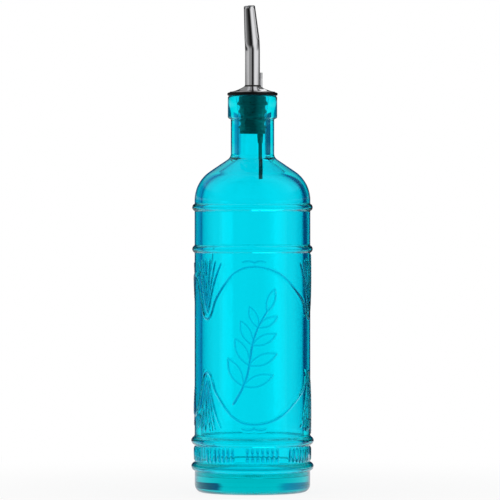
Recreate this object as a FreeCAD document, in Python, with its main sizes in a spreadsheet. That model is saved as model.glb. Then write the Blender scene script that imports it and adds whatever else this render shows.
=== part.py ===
"""Moulded glass oil bottle with a free-flow pourer.

The bottle stands on z = 0 with its axis on Z. The pourer is a ribbed stopper in the neck, a soft collar on
the rim and a steel set of cone, spout and vent pipe. Each piece is drawn from its own lowest point and then
raised to its height. The pieces of the pourer are drawn with the vent on the +X side and then turned.
"""
import FreeCAD
import Part
import Sketcher
import math
import os

SIZES = (
    # glass body
    ("body_diameter", 70.0, "glass body between the rings"),
    ("body_height", 176.5, "table to the start of the shoulder"),
    ("body_wall", 3.6, "glass thickness of body and shoulder"),
    ("heel_radius", 4.6, "rounding between body and foot"),
    ("foot_width", 3.9, "flat ring that the bottle stands on"),
    ("punt_height", 3.5, "hollow under the middle of the bottle"),
    ("floor_height", 9.5, "table to the inner floor"),
    ("floor_corner", 8.0, "rounding of the inner floor"),
    # rings round the body
    ("low_ring_height", 15.6, "table to the lowest ring"),
    ("low_ring_gap", 15.6, "lowest ring to the ring above it"),
    ("low_ring_width", 5.3, "height of the two lower rings"),
    ("low_ring_rise", 2.05, "how far the two lower rings stand out"),
    ("high_ring_drop", 4.3, "start of the shoulder down to the highest ring"),
    ("high_ring_gap", 25.2, "highest ring to the ring below it"),
    ("high_ring_width", 4.5, "height of the two upper rings"),
    ("high_ring_rise", 1.45, "how far the two upper rings stand out"),
    # shoulder, neck and mouth
    ("shoulder_radius", 21.0, "rounding from body to shoulder"),
    ("shoulder_slope", 34.0, "shoulder cone against the level, degrees"),
    ("neck_fillet", 4.3, "rounding from shoulder to neck"),
    ("throat_round", 3.0, "inner rounding from shoulder to bore"),
    ("neck_length", 21.0, "plain neck"),
    ("neck_wall", 4.4, "glass thickness of the neck"),
    ("finish_height", 14.0, "thick band at the mouth"),
    ("finish_step", 1.8, "how far the band stands out of the neck"),
    ("finish_round", 1.4, "rounding of the band"),
    ("mouth_flare", 1.7, "how much wider the mouth is than the bore"),
    ("flare_depth", 10.6, "depth of the flare in the mouth"),
    ("lip_round", 1.0, "rounding of the inner lip"),
    # spout
    ("spout_diameter", 9.0, "outside of the straight spout"),
    ("spout_wall", 0.6, "steel thickness of the spout"),
    ("spout_insert", 21.5, "spout below the rim"),
    ("spout_rise", 29.2, "rim to the start of the bend"),
    ("bend_radius", 14.0, "radius of the bend on the axis of the spout"),
    ("spout_lean", 11.0, "lean of the tapered end, degrees"),
    ("spout_heading", 208.5, "direction of the lean, from the vent, degrees"),
    ("taper_length", 22.6, "length of the tapered end"),
    ("tip_diameter", 6.8, "outside of the tip"),
    # vent
    ("vent_diameter", 2.0, "outside of the steel vent pipe"),
    ("vent_wall", 0.35, "steel thickness of the vent pipe"),
    ("vent_gap", 0.8, "between spout and vent pipe"),
    ("vent_insert", 14.5, "vent pipe below the rim"),
    ("vent_rise", 14.1, "vent pipe above the rim"),
    ("vent_bearing", 37.0, "direction of the vent from the axis, degrees"),
    ("breather_diameter", 2.5, "outside of the breather tube"),
    ("breather_wall", 0.5, "thickness of the breather tube"),
    ("breather_drop", 26.0, "breather tube below the stopper"),
    # stopper
    ("stopper_depth", 23.0, "stopper below the rim"),
    ("stopper_web", 0.35, "stopper left outside the breather tube"),
    ("fin_reach", 0.8, "gap between stopper core and bore that the fins cross"),
    ("fin_start", 5.2, "rim to the middle of the first fin"),
    ("fin_pitch", 4.6, "one fin to the next"),
    ("fin_foot", 2.6, "height of a fin at the core"),
    ("fin_edge", 0.7, "height of a fin at its edge"),
    ("boss_diameter", 3.9, "boss round the breather tube"),
    ("boss_length", 5.6, "boss below the stopper"),
    # collar and cone
    ("collar_thickness", 1.9, "collar on the rim"),
    ("collar_overhang", 0.3, "collar beyond the band of the mouth"),
    ("collar_round", 0.8, "rounding of the collar's edge"),
    ("cone_inset", 1.4, "edge of the collar in to the edge of the cone"),
    ("cone_edge", 0.5, "upright edge of the cone"),
    ("cone_rise", 3.6, "cone above the collar"),
    ("cone_sheet", 0.7, "steel thickness of the cone"),
    ("crown_width", 0.9, "level ring at the top of the cone"),
    ("braze_width", 0.7, "foot of the braze ring"),
    ("braze_rise", 0.9, "height of the braze ring"),
    # clearances
    ("neck_fit", 0.1, "fin to bore"),
    ("tube_fit", 0.05, "spout or vent pipe to its hole"),
    ("press_fit", 0.03, "breather tube to its hole"),
    ("collar_fit", 0.15, "stopper to the hole of the collar"),
)


class Size:
    """A length or angle with its present value and the expression that gives it from the sheet."""

    def __init__(self, value, text):
        self.value = value
        self.text = text

    def __add__(self, other):
        other = as_size(other)
        return Size(self.value + other.value, f"({self.text} + {other.text})")

    def __sub__(self, other):
        other = as_size(other)
        return Size(self.value - other.value, f"({self.text} - {other.text})")

    def __mul__(self, other):
        other = as_size(other)
        return Size(self.value * other.value, f"{self.text} * {other.text}")

    def __truediv__(self, other):
        other = as_size(other)
        return Size(self.value / other.value, f"{self.text} / ({other.text})")


def as_size(value):
    """Plain numbers become sizes too, so that formulas can mix them."""
    if isinstance(value, Size):
        return value
    return Size(float(value), f"{value}")


def cos(angle):
    return Size(math.cos(math.radians(angle.value)), f"cos({angle.text} * 1 deg)")


def sin(angle):
    return Size(math.sin(math.radians(angle.value)), f"sin({angle.text} * 1 deg)")


def tan(angle):
    return Size(math.tan(math.radians(angle.value)), f"tan({angle.text} * 1 deg)")


def larger(first, second):
    first, second = as_size(first), as_size(second)
    return Size(max(first.value, second.value), f"max({first.text}; {second.text})")


def smaller(first, second):
    first, second = as_size(first), as_size(second)
    return Size(min(first.value, second.value), f"min({first.text}; {second.text})")


def degrees(angle):
    return Size(angle.value, f"{angle.text} * 1 deg")


doc = FreeCAD.newDocument("oil_bottle")
sheet = doc.addObject("Spreadsheet::Sheet", "Sizes")
dim = {}
for row, (name, value, note) in enumerate(SIZES, start=1):
    sheet.set(f"A{row}", name)
    sheet.set(f"B{row}", str(value))
    sheet.set(f"C{row}", note)
    sheet.setAlias(f"B{row}", name)
    dim[name] = Size(value, f"Sizes.{name}")
doc.recompute()


def bind(item, path, value):
    item.setExpression(path, value.text)


def new_body(node):
    body = doc.addObject("PartDesign::Body", node)
    body.Label = node
    return body


def new_sketch(body, name, role):
    """A sketch on one of the body's own planes."""
    sketch = body.newObject("Sketcher::SketchObject", name)
    plane = next(f for f in body.Origin.OriginFeatures if f.Role == role)
    sketch.AttachmentSupport = (plane, "")
    sketch.MapMode = "FlatFace"
    return sketch


def hold_point(sketch, edge, end, across, up):
    """Fix one end of an edge at its distances from the sketch's origin."""
    if across.value == 0:
        sketch.addConstraint(Sketcher.Constraint("PointOnObject", edge, end, -2))
    else:
        row = sketch.addConstraint(Sketcher.Constraint("DistanceX", -1, 1, edge, end, across.value))
        bind(sketch, f"Constraints[{row}]", across)
    if up.value == 0:
        sketch.addConstraint(Sketcher.Constraint("PointOnObject", edge, end, -1))
    else:
        row = sketch.addConstraint(Sketcher.Constraint("DistanceY", -1, 1, edge, end, up.value))
        bind(sketch, f"Constraints[{row}]", up)


def arc_edge(start, end, radius, side):
    """The short arc between two points with its centre on the left (side 1) or right (side -1)."""
    chord = end - start
    across = FreeCAD.Vector(-chord.y, chord.x, 0).normalize()
    rise = math.sqrt(max(radius ** 2 - chord.Length ** 2 / 4, 0))
    centre = (start + end) / 2 + across * (side * rise)
    angles = [math.atan2(p.y - centre.y, p.x - centre.x) for p in (start, end)]
    if side < 0:
        angles.reverse()
    circle = Part.Circle(centre, FreeCAD.Vector(0, 0, 1), radius)
    return Part.ArcOfCircle(circle, angles[0], angles[1])


def draw_profile(sketch, corners):
    """Draw a closed outline.

    A corner is (across, up) where a straight edge follows, and (across, up, radius, side) where an arc follows.
    """
    corners = [tuple(as_size(c) for c in corner[:3]) + corner[3:] for corner in corners]
    points = [FreeCAD.Vector(c[0].value, c[1].value, 0) for c in corners]
    count = len(corners)
    ends = []
    for i, corner in enumerate(corners):
        start, end = points[i], points[(i + 1) % count]
        if len(corner) == 2:
            edge = sketch.addGeometry(Part.LineSegment(start, end), False)
            ends.append((edge, 1, 2))
        else:
            edge = sketch.addGeometry(arc_edge(start, end, corner[2].value, corner[3]), False)
            ends.append((edge, 1, 2) if corner[3] > 0 else (edge, 2, 1))
    for i in range(count):
        edge, first, last = ends[i]
        after, after_first, _ = ends[(i + 1) % count]
        sketch.addConstraint(Sketcher.Constraint("Coincident", edge, last, after, after_first))
    for i, corner in enumerate(corners):
        edge, first, last = ends[i]
        hold_point(sketch, edge, first, corner[0], corner[1])
        if len(corner) > 2:
            row = sketch.addConstraint(Sketcher.Constraint("Radius", edge, corner[2].value))
            bind(sketch, f"Constraints[{row}]", corner[2])


def draw_circle(sketch, across, radius):
    """A circle with its centre on the sketch's level axis."""
    across, radius = as_size(across), as_size(radius)
    centre = FreeCAD.Vector(across.value, 0, 0)
    edge = sketch.addGeometry(Part.Circle(centre, FreeCAD.Vector(0, 0, 1), radius.value), False)
    hold_point(sketch, edge, 3, across, as_size(0))
    row = sketch.addConstraint(Sketcher.Constraint("Radius", edge, radius.value))
    bind(sketch, f"Constraints[{row}]", radius)


def turned(body, name, corners, kind="Revolution", across=None):
    """Turn an outline about the body's axis, or about an upright axis across from it."""
    sketch = new_sketch(body, f"{name}_outline", "XZ_Plane")
    draw_profile(sketch, corners)
    if across is not None:
        bind(sketch, "AttachmentOffset.Base.x", across)
    feature = body.newObject(f"PartDesign::{kind}", name)
    feature.Profile = sketch
    feature.ReferenceAxis = (sketch, ["V_Axis"])
    feature.Angle = 360
    return feature


def drilled(body, name, across, radius, top=None):
    """A round hole right through the body, or from a height downwards."""
    sketch = new_sketch(body, f"{name}_circle", "XY_Plane")
    draw_circle(sketch, across, radius)
    hole = body.newObject("PartDesign::Pocket", name)
    hole.Profile = sketch
    hole.Type = 1
    if top is None:
        hole.Midplane = True
    else:
        bind(sketch, "AttachmentOffset.Base.z", top)
    return hole


def tube(node, across, radius, wall, length):
    """A straight round tube."""
    body = new_body(node)
    sketch = new_sketch(body, f"{node}_section", "XY_Plane")
    draw_circle(sketch, across, radius)
    draw_circle(sketch, across, radius - wall)
    pad = body.newObject("PartDesign::Pad", f"{node}_length")
    pad.Profile = sketch
    bind(pad, "Length", length)
    return body


def place(item, up, turn=None):
    """Raise a piece to its height, and turn it about Z."""
    item.Placement = FreeCAD.Placement(FreeCAD.Vector(0, 0, 0), FreeCAD.Rotation(FreeCAD.Vector(0, 0, 1), 1))
    bind(item, "Placement.Base.z", up)
    if turn is None:
        turn = dim["vent_bearing"]
    bind(item, "Placement.Rotation.Angle", degrees(turn))


# Radii from the spout outwards. The vent stands beside the spout, the stopper holds both, the bore holds the
# stopper, and the mouth, collar and cone follow the bore.
spout_radius = dim["spout_diameter"] / 2
spout_hole = spout_radius + dim["tube_fit"]
vent_radius = dim["vent_diameter"] / 2
breather_radius = dim["breather_diameter"] / 2
vent_across = spout_radius + dim["vent_gap"] + vent_radius
wider_tube = larger(breather_radius + dim["press_fit"], vent_radius + dim["tube_fit"])
core_radius = vent_across + wider_tube + dim["stopper_web"]
bore_radius = core_radius + dim["fin_reach"]
mouth_radius = bore_radius + dim["mouth_flare"]
neck_radius = bore_radius + dim["neck_wall"]
finish_radius = neck_radius + dim["finish_step"]
collar_radius = finish_radius + dim["collar_overhang"]
cone_radius = collar_radius - dim["cone_inset"]

# Heights of the glass. The shoulder is a round, a cone and a fillet, each running smoothly into the next.
body_radius = dim["body_diameter"] / 2
inner_radius = body_radius - dim["body_wall"]
lean_in = as_size(90) - dim["shoulder_slope"]
round_in = as_size(1) - cos(lean_in)


def shoulder(wall_radius, top_round, end_radius, end_round):
    """Corners of a shoulder from the straight wall up to the neck: start of round, of cone, of fillet, of neck."""
    cone_start = wall_radius - top_round * round_in
    cone_start_up = dim["body_height"] + top_round * sin(lean_in)
    cone_end = end_radius + end_round * round_in
    cone_end_up = cone_start_up + (cone_start - cone_end) * tan(dim["shoulder_slope"])
    neck_up = cone_end_up + end_round * sin(lean_in)
    corners = [
        (wall_radius, dim["body_height"], top_round, 1),
        (cone_start, cone_start_up),
        (cone_end, cone_end_up, end_round, -1),
    ]
    return corners, neck_up


outer_shoulder, neck_up = shoulder(body_radius, dim["shoulder_radius"], neck_radius, dim["neck_fillet"])
inner_round = dim["shoulder_radius"] - dim["body_wall"]
inner_shoulder, throat_up = shoulder(inner_radius, inner_round, bore_radius, dim["throat_round"])
finish_up = neck_up + dim["neck_length"]
rim_up = finish_up + dim["finish_height"]
collar_top = rim_up + dim["collar_thickness"]

# Glass bottle: the outside, four rings round the body, then the hollow.
bottle = new_body("glass_bottle")
foot_outer = body_radius - dim["heel_radius"]
foot_inner = foot_outer - dim["foot_width"]
punt = dim["punt_height"]
punt_round = (foot_inner * foot_inner + punt * punt) / (punt * 2)
turned(bottle, "glass_outside", [
    (0, punt, punt_round, -1),
    (foot_inner, 0),
    (foot_outer, 0, dim["heel_radius"], 1),
    (body_radius, dim["heel_radius"]),
    *outer_shoulder,
    (neck_radius, neck_up),
    (neck_radius, finish_up),
    (finish_radius - dim["finish_round"], finish_up, dim["finish_round"], 1),
    (finish_radius, finish_up + dim["finish_round"]),
    (finish_radius, rim_up - dim["finish_round"], dim["finish_round"], 1),
    (finish_radius - dim["finish_round"], rim_up),
    (0, rim_up),
])


def glass_ring(name, up, width, rise):
    """A round ring on the body, rooted in the glass."""
    half = width / 2
    bead = (half * half + rise * rise) / (rise * 2)
    root = body_radius - dim["body_wall"] / 2
    turned(bottle, name, [
        (root, up - half),
        (body_radius, up - half, bead, 1),
        (body_radius, up + half),
        (root, up + half),
    ])


low_ring_up = dim["low_ring_height"]
high_ring_up = dim["body_height"] - dim["high_ring_drop"]
glass_ring("foot_ring", low_ring_up, dim["low_ring_width"], dim["low_ring_rise"])
glass_ring("lower_ring", low_ring_up + dim["low_ring_gap"], dim["low_ring_width"], dim["low_ring_rise"])
glass_ring("upper_ring", high_ring_up - dim["high_ring_gap"], dim["high_ring_width"], dim["high_ring_rise"])
glass_ring("shoulder_ring", high_ring_up, dim["high_ring_width"], dim["high_ring_rise"])

turned(bottle, "glass_hollow", [
    (0, dim["floor_height"]),
    (inner_radius - dim["floor_corner"], dim["floor_height"], dim["floor_corner"], 1),
    (inner_radius, dim["floor_height"] + dim["floor_corner"]),
    *inner_shoulder,
    (bore_radius, throat_up),
    (bore_radius, rim_up - dim["flare_depth"]),
    (mouth_radius, rim_up - dim["lip_round"], dim["lip_round"], -1),
    (mouth_radius + dim["lip_round"], rim_up),
    (mouth_radius + dim["lip_round"], rim_up + 1),
    (0, rim_up + 1),
], kind="Groove")

# Collar: a soft flat ring with a rounded edge, on the rim.
collar = new_body("sealing_collar")
collar_hole = core_radius + dim["collar_fit"]
collar_round = dim["collar_round"]
turned(collar, "collar_ring", [
    (collar_hole, 0),
    (collar_radius - collar_round, 0, collar_round, 1),
    (collar_radius, collar_round),
    (collar_radius, dim["collar_thickness"] - collar_round, collar_round, 1),
    (collar_radius - collar_round, dim["collar_thickness"]),
    (collar_hole, dim["collar_thickness"]),
])
place(collar, rim_up)

# Stopper: a core with fins that reach the bore, also where the bore flares, and a boss for the breather tube.
# The top of the core fills the hole of the collar. A longer or shorter stopper has more or fewer fins.
stopper = new_body("stopper")
fin_half = dim["fin_foot"] / 2
edge_half = dim["fin_edge"] / 2
fin_room = dim["stopper_depth"].value - dim["fin_start"].value - fin_half.value
fin_count = int(fin_room / dim["fin_pitch"].value) + 1
stopper_corners = [(spout_hole, 0), (core_radius, 0)]
for step in reversed(range(fin_count)):
    depth = dim["fin_start"] + dim["fin_pitch"] * step
    flare = larger(0, as_size(1) - (depth + edge_half) / dim["flare_depth"])
    fin_radius = bore_radius + dim["mouth_flare"] * flare - dim["neck_fit"]
    fin_up = dim["stopper_depth"] - depth
    stopper_corners += [
        (core_radius, fin_up - fin_half),
        (fin_radius, fin_up - edge_half),
        (fin_radius, fin_up + edge_half),
        (core_radius, fin_up + fin_half),
    ]
stopper_top = dim["stopper_depth"] + dim["collar_thickness"]
stopper_corners += [(core_radius, stopper_top), (spout_hole, stopper_top)]
turned(stopper, "stopper_core", stopper_corners)
stopper_up = rim_up - dim["stopper_depth"]
place(stopper, stopper_up)

# Boss: a plain round under the stopper, drilled with the stopper for the vent pipe and the breather tube.
boss_radius = dim["boss_diameter"] / 2
boss_sketch = new_sketch(stopper, "boss_circle", "XY_Plane")
draw_circle(boss_sketch, vent_across, boss_radius)
boss = stopper.newObject("PartDesign::Pad", "boss")
boss.Profile = boss_sketch
boss.Reversed = True
bind(boss, "Length", dim["boss_length"])
breather_top = dim["stopper_depth"] - dim["vent_insert"]
drilled(stopper, "vent_hole", vent_across, vent_radius + dim["tube_fit"])
drilled(stopper, "breather_hole", vent_across, breather_radius + dim["press_fit"], breather_top)

# Breather tube: pressed into the boss up to the end of the vent pipe.
breather_length = dim["breather_drop"] + breather_top
breather = tube("breather_tube", vent_across, breather_radius, dim["breather_wall"], breather_length)
place(breather, stopper_up - dim["breather_drop"])

# Cone: pressed steel sheet with an upright edge and a level crown, open for the spout and the vent pipe.
cone = new_body("dome_cap")
sheet_wall = dim["cone_sheet"]
crown_radius = spout_radius + dim["crown_width"]
cone_hole = spout_radius + dim["tube_fit"]
turned(cone, "cone_sheet_metal", [
    (cone_radius - sheet_wall, 0),
    (cone_radius, 0),
    (cone_radius, dim["cone_edge"]),
    (crown_radius, dim["cone_rise"]),
    (cone_hole, dim["cone_rise"]),
    (cone_hole, dim["cone_rise"] - sheet_wall),
    (crown_radius, dim["cone_rise"] - sheet_wall),
])
drilled(cone, "cone_vent_hole", vent_across, vent_radius + dim["tube_fit"])
place(cone, collar_top)

# Braze ring: a small fillet of filler between the spout and the crown.
braze = new_body("braze_ring")
braze_inner = spout_radius + dim["tube_fit"]
braze_width, braze_rise = dim["braze_width"], dim["braze_rise"]
braze_curve = (braze_width * braze_width + braze_rise * braze_rise) / smaller(braze_width, braze_rise)
turned(braze, "braze_fillet", [
    (braze_inner, 0),
    (braze_inner + braze_width, 0, braze_curve, -1),
    (braze_inner, braze_rise),
])
place(braze, collar_top + dim["cone_rise"])

# Vent pipe: from the breather tube up beside the spout.
vent = tube("vent_pipe", vent_across, vent_radius, dim["vent_wall"], dim["vent_insert"] + dim["vent_rise"])
place(vent, rim_up - dim["vent_insert"])


def spout_solid(name, radius, tip, beyond):
    """A round bar along the spout: upright, bent, then tapered. Both ends may run on beyond the spout."""
    straight = dim["spout_insert"] + dim["spout_rise"]
    bend, lean = dim["bend_radius"], dim["spout_lean"]
    post = doc.addObject("Part::Cylinder", f"{name}_straight")
    bind(post, "Radius", radius)
    bind(post, "Height", straight + beyond)
    bind(post, "Placement.Base.z", as_size(0) - beyond)
    elbow = doc.addObject("Part::Torus", f"{name}_bend")
    elbow.Placement = FreeCAD.Placement(FreeCAD.Vector(), FreeCAD.Rotation(FreeCAD.Vector(0, 1, 1), 180))
    bind(elbow, "Radius1", bend)
    bind(elbow, "Radius2", radius)
    bind(elbow, "Angle3", degrees(lean))
    bind(elbow, "Placement.Base.x", bend)
    bind(elbow, "Placement.Base.z", straight)
    end = doc.addObject("Part::Cone", f"{name}_taper")
    end.Placement = FreeCAD.Placement(FreeCAD.Vector(), FreeCAD.Rotation(FreeCAD.Vector(0, 1, 0), 1))
    narrowing = (radius - tip) / dim["taper_length"]
    bind(end, "Radius1", radius)
    bind(end, "Radius2", tip - narrowing * beyond)
    bind(end, "Height", dim["taper_length"] + beyond)
    bind(end, "Placement.Base.x", bend - bend * cos(lean))
    bind(end, "Placement.Base.z", straight + bend * sin(lean))
    bind(end, "Placement.Rotation.Angle", degrees(lean))
    bar = doc.addObject("Part::MultiFuse", name)
    bar.Shapes = [post, elbow, end]
    return bar


# Spout: the round bar with a thinner one taken out of it.
tip_radius = dim["tip_diameter"] / 2
spout = doc.addObject("Part::Cut", "spout_tube")
spout.Label = "spout_tube"
spout.Base = spout_solid("spout_outside", spout_radius, tip_radius, as_size(0))
spout.Tool = spout_solid(
    "spout_hollow", spout_radius - dim["spout_wall"], tip_radius - dim["spout_wall"], as_size(1))
place(spout, rim_up - dim["spout_insert"], dim["vent_bearing"] + dim["spout_heading"])

doc.recompute()

pieces = [bottle, collar, stopper, breather, cone, spout, vent, braze]
for item in doc.Objects:
    if "Invalid" in item.State or "Error" in item.State:
        raise RuntimeError(f"{item.Name} failed: {item.State}")
for piece in pieces:
    if piece.Shape.isNull() or not piece.Shape.isValid() or len(piece.Shape.Solids) != 1:
        raise RuntimeError(f"{piece.Label} is not one valid solid")

os.makedirs("parts", exist_ok=True)
for piece in pieces:
    piece.Shape.exportStep(f"parts/{piece.Label}.step")
    box = piece.Shape.BoundBox
    print(f"{piece.Label}: {box.XLength:.2f} x {box.YLength:.2f} x {box.ZLength:.2f} mm,"
          f" z {box.ZMin:.2f} to {box.ZMax:.2f}, {piece.Shape.Volume:.0f} mm3")
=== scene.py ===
"""Glass oil bottle with a free-flow pourer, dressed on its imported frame.

All shapes are worked out in millimetres and put into the meshes in metres. Angles round the bottle are in
degrees from the front (-Y), growing towards +X.
"""
import math

import bpy
import numpy as np
from bpy.props import FloatProperty, FloatVectorProperty, PointerProperty
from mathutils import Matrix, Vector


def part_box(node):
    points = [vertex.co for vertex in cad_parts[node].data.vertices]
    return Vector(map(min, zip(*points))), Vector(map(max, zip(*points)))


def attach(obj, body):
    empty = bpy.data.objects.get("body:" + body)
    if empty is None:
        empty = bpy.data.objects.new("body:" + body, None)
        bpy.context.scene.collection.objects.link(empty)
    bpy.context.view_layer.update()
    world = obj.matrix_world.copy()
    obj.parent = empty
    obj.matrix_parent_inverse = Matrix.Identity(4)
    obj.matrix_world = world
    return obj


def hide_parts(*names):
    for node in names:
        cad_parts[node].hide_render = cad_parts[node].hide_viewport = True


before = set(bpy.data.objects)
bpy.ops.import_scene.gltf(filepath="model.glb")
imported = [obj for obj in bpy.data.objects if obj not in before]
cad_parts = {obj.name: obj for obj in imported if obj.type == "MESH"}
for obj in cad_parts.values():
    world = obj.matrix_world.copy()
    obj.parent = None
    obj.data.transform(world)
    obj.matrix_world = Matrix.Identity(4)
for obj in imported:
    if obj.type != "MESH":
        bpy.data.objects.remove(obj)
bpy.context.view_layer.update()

bl_info = {
    "name": "Glass Oil Bottle",
    "version": (1, 0, 0),
    "blender": (4, 5, 0),
    "location": "View3D > Sidebar > Oil Bottle",
    "description": "Builds a moulded glass oil bottle with a steel pouring spout",
    "category": "Object",
}

MM = 0.001
# Heights and corners of the frame's pieces, in millimetres
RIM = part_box("glass_bottle")[1][2] / MM
COLLAR_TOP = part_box("sealing_collar")[1][2] / MM
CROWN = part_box("dome_cap")[1][2] / MM
VENT_LOW, VENT_HIGH = (np.array(corner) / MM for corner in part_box("vent_pipe"))
BREATHER_LOW, BREATHER_HIGH = (np.array(corner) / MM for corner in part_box("breather_tube"))
STOPPER_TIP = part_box("stopper")[0][2] / MM
SPOUT_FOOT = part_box("spout_tube")[0][2] / MM
# The body of the stopper reaches 23 mm down into the neck, and its boss on to the tip
STOPPER_FOOT = RIM - 23.0
# Radius of the hole that takes the spout, in the stopper and in the steel cone
SPOUT_HOLE = 4.55


def linear(hex_colour):
    """An sRGB hex colour as linear red, green, blue and alpha."""
    parts = np.array([int(hex_colour[i:i + 2], 16) for i in (1, 3, 5)]) / 255
    parts = np.where(parts <= 0.04045, parts / 12.92, ((parts + 0.055) / 1.055) ** 2.4)
    return (*parts.tolist(), 1.0)


# Sizes and colours

def length(name, description, default):
    """A length to set, with its default in millimetres."""
    return FloatProperty(name=name, description=description, default=default * MM, unit="LENGTH", precision=5)


def angle(name, description, default):
    """An angle to set, with its default in degrees."""
    return FloatProperty(name=name, description=description, default=math.radians(default), unit="ROTATION")


def colour(name, description, default):
    """A colour to set, with its default as an sRGB hex value."""
    return FloatVectorProperty(
        name=name, description=description, default=linear(default), size=4, subtype="COLOR", min=0, max=1)


class GlassSizes(bpy.types.PropertyGroup):
    """Sizes of the glass and of its raised ornament."""
    body_diameter: length("Body diameter", "Glass body between the rings", 70.0)
    body_height: length("Body height", "Table to the start of the shoulder", 176.5)
    body_wall: length("Body wall", "Glass thickness of body and shoulder", 3.6)
    bore: length("Bore", "Diameter of the hole through the neck", 17.46)
    neck_diameter: length("Neck diameter", "Outside of the plain neck", 26.26)
    finish_diameter: length("Mouth band diameter", "Outside of the thick band at the mouth", 29.86)
    relief_height: length("Ornament height", "How far the raised ornament stands out of the body", 0.65)
    relief_width: length("Ornament line width", "Foot width of the raised line round each field", 1.9)


class PourerSizes(bpy.types.PropertyGroup):
    """Sizes of the spout, the stopper and the tubes."""
    spout_diameter: length("Spout diameter", "Outside of the straight spout", 9.0)
    tip_diameter: length("Tip diameter", "Outside of the spout's tip", 6.8)
    spout_wall: length("Spout wall", "Steel thickness of the spout", 0.6)
    spout_lean: angle("Spout lean", "Lean of the tapered end", 11.0)
    spout_heading: angle("Spout heading", "Direction of the lean from +X", 245.5)
    bend_height: length("Bend height", "Rim to the start of the bend", 26.7)
    bend_radius: length("Bend radius", "Radius of the bend on the spout's axis", 40.0)
    taper: length("Tapered end", "Length of the tapered end", 20.1)


class Finishes(bpy.types.PropertyGroup):
    """Colours of the finishes."""
    glass: colour("Glass", "Colour that the glass lets through", "#00FEFE")
    glass_depth: FloatProperty(
        name="Glass depth", description="How strongly a metre of the glass takes up light",
        default=920.0, min=0)
    skin: colour("Glass skin", "Tint that each surface of the glass adds", "#E7EFFB")
    # painted shade: the raised lines of the ornament are tinted darker, standing in for the darkening that
    # refraction gives them
    line: colour("Glass lines", "Tint of the raised lines of the ornament", "#4490C4")
    # painted shade: the glass seen edge on is tinted deep blue
    edge: colour("Glass edges", "Tint of the glass where it is seen edge on", "#002A74")
    gloss: colour("Glass gloss", "Colour of the reflections on the glass", "#00FFFF")
    steel: colour("Steel", "Polished stainless steel", "#E0E0E2")
    rubber: colour("Collar", "Black rubber of the collar", "#070708")
    stopper: colour("Stopper", "Black rubber of the stopper", "#101214")
    plastic: colour("Breather tube", "Black plastic of the breather tube", "#22282A")
    braze: colour("Braze", "Dark filler at the foot of the spout", "#3A3835")
    floor: colour("Floor", "Pale floor", "#F2F2F2")


class OilBottle(bpy.types.PropertyGroup):
    """Everything that can be set on the bottle."""
    glass: PointerProperty(type=GlassSizes)
    pourer: PointerProperty(type=PourerSizes)
    finish: PointerProperty(type=Finishes)


# Surfaces

def straight(start, end, count):
    """Points along the line between start and end, the end left out."""
    t = np.linspace(0, 1, count, endpoint=False)[:, None]
    return np.asarray(start) * (1 - t) + np.asarray(end) * t


def rounded(centre, radius, first, last, count):
    """Points on the circle round centre from the first angle to the last in degrees, the last left out."""
    turn = np.radians(np.linspace(first, last, count, endpoint=False))
    return np.stack([centre[0] + radius * np.cos(turn), centre[1] + radius * np.sin(turn)], axis=1)


def around(count):
    """Evenly spaced angles round a full turn."""
    return np.arange(count) * 360 / count


def drawn_tube(bore, outer, low, high, rows):
    """Outline of an upright tube with round lips, as (radius, height): up the outside, then down the bore.

    Bore and outer are radii. Each straight side gets some rows of points between the lips.
    """
    lip, middle = (outer - bore) / 2, (outer + bore) / 2
    return np.concatenate([
        rounded((middle, low + lip), lip, -180, 0, 7),
        straight((outer, low + lip), (outer, high - lip), rows),
        rounded((middle, high - lip), lip, 0, 180, 7),
        straight((bore, high - lip), (bore, low + lip), rows)])


def turned(profile, columns, axis=(0.0, 0.0)):
    """Rings of a profile of (radius, height) turned about an upright axis, with a column at each angle."""
    turn = np.radians(columns)
    radius, height = profile[:, :1], profile[:, 1:]
    x = axis[0] + radius * np.sin(turn)
    y = axis[1] - radius * np.cos(turn)
    return list(np.stack([x, y, np.broadcast_to(height, x.shape)], axis=2))


def strip(low, high):
    """Faces between two neighbouring rings of point numbers.

    Rings of one size give quads. A single point gives a fan. A ring with twice as many points as the other
    gives three triangles for each step of the coarser one.
    """
    low_next, high_next = np.roll(low, -1), np.roll(high, -1)
    if len(low) == len(high):
        return [np.stack([low, low_next, high_next, high], axis=1)]
    if len(low) == 1:
        return [np.stack([np.repeat(low, len(high)), high_next, high], axis=1)]
    if len(high) == 1:
        return [np.stack([low, low_next, np.repeat(high, len(low))], axis=1)]
    if len(high) == 2 * len(low):
        even, odd = high[0::2], high[1::2]
        return [np.stack(f, axis=1) for f in (
            (low, odd, even), (low, low_next, odd), (low_next, np.roll(even, -1), odd))]
    even, odd = low[0::2], low[1::2]
    return [np.stack(f, axis=1) for f in (
        (even, odd, high), (odd, high_next, high), (odd, np.roll(even, -1), high_next))]


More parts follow.
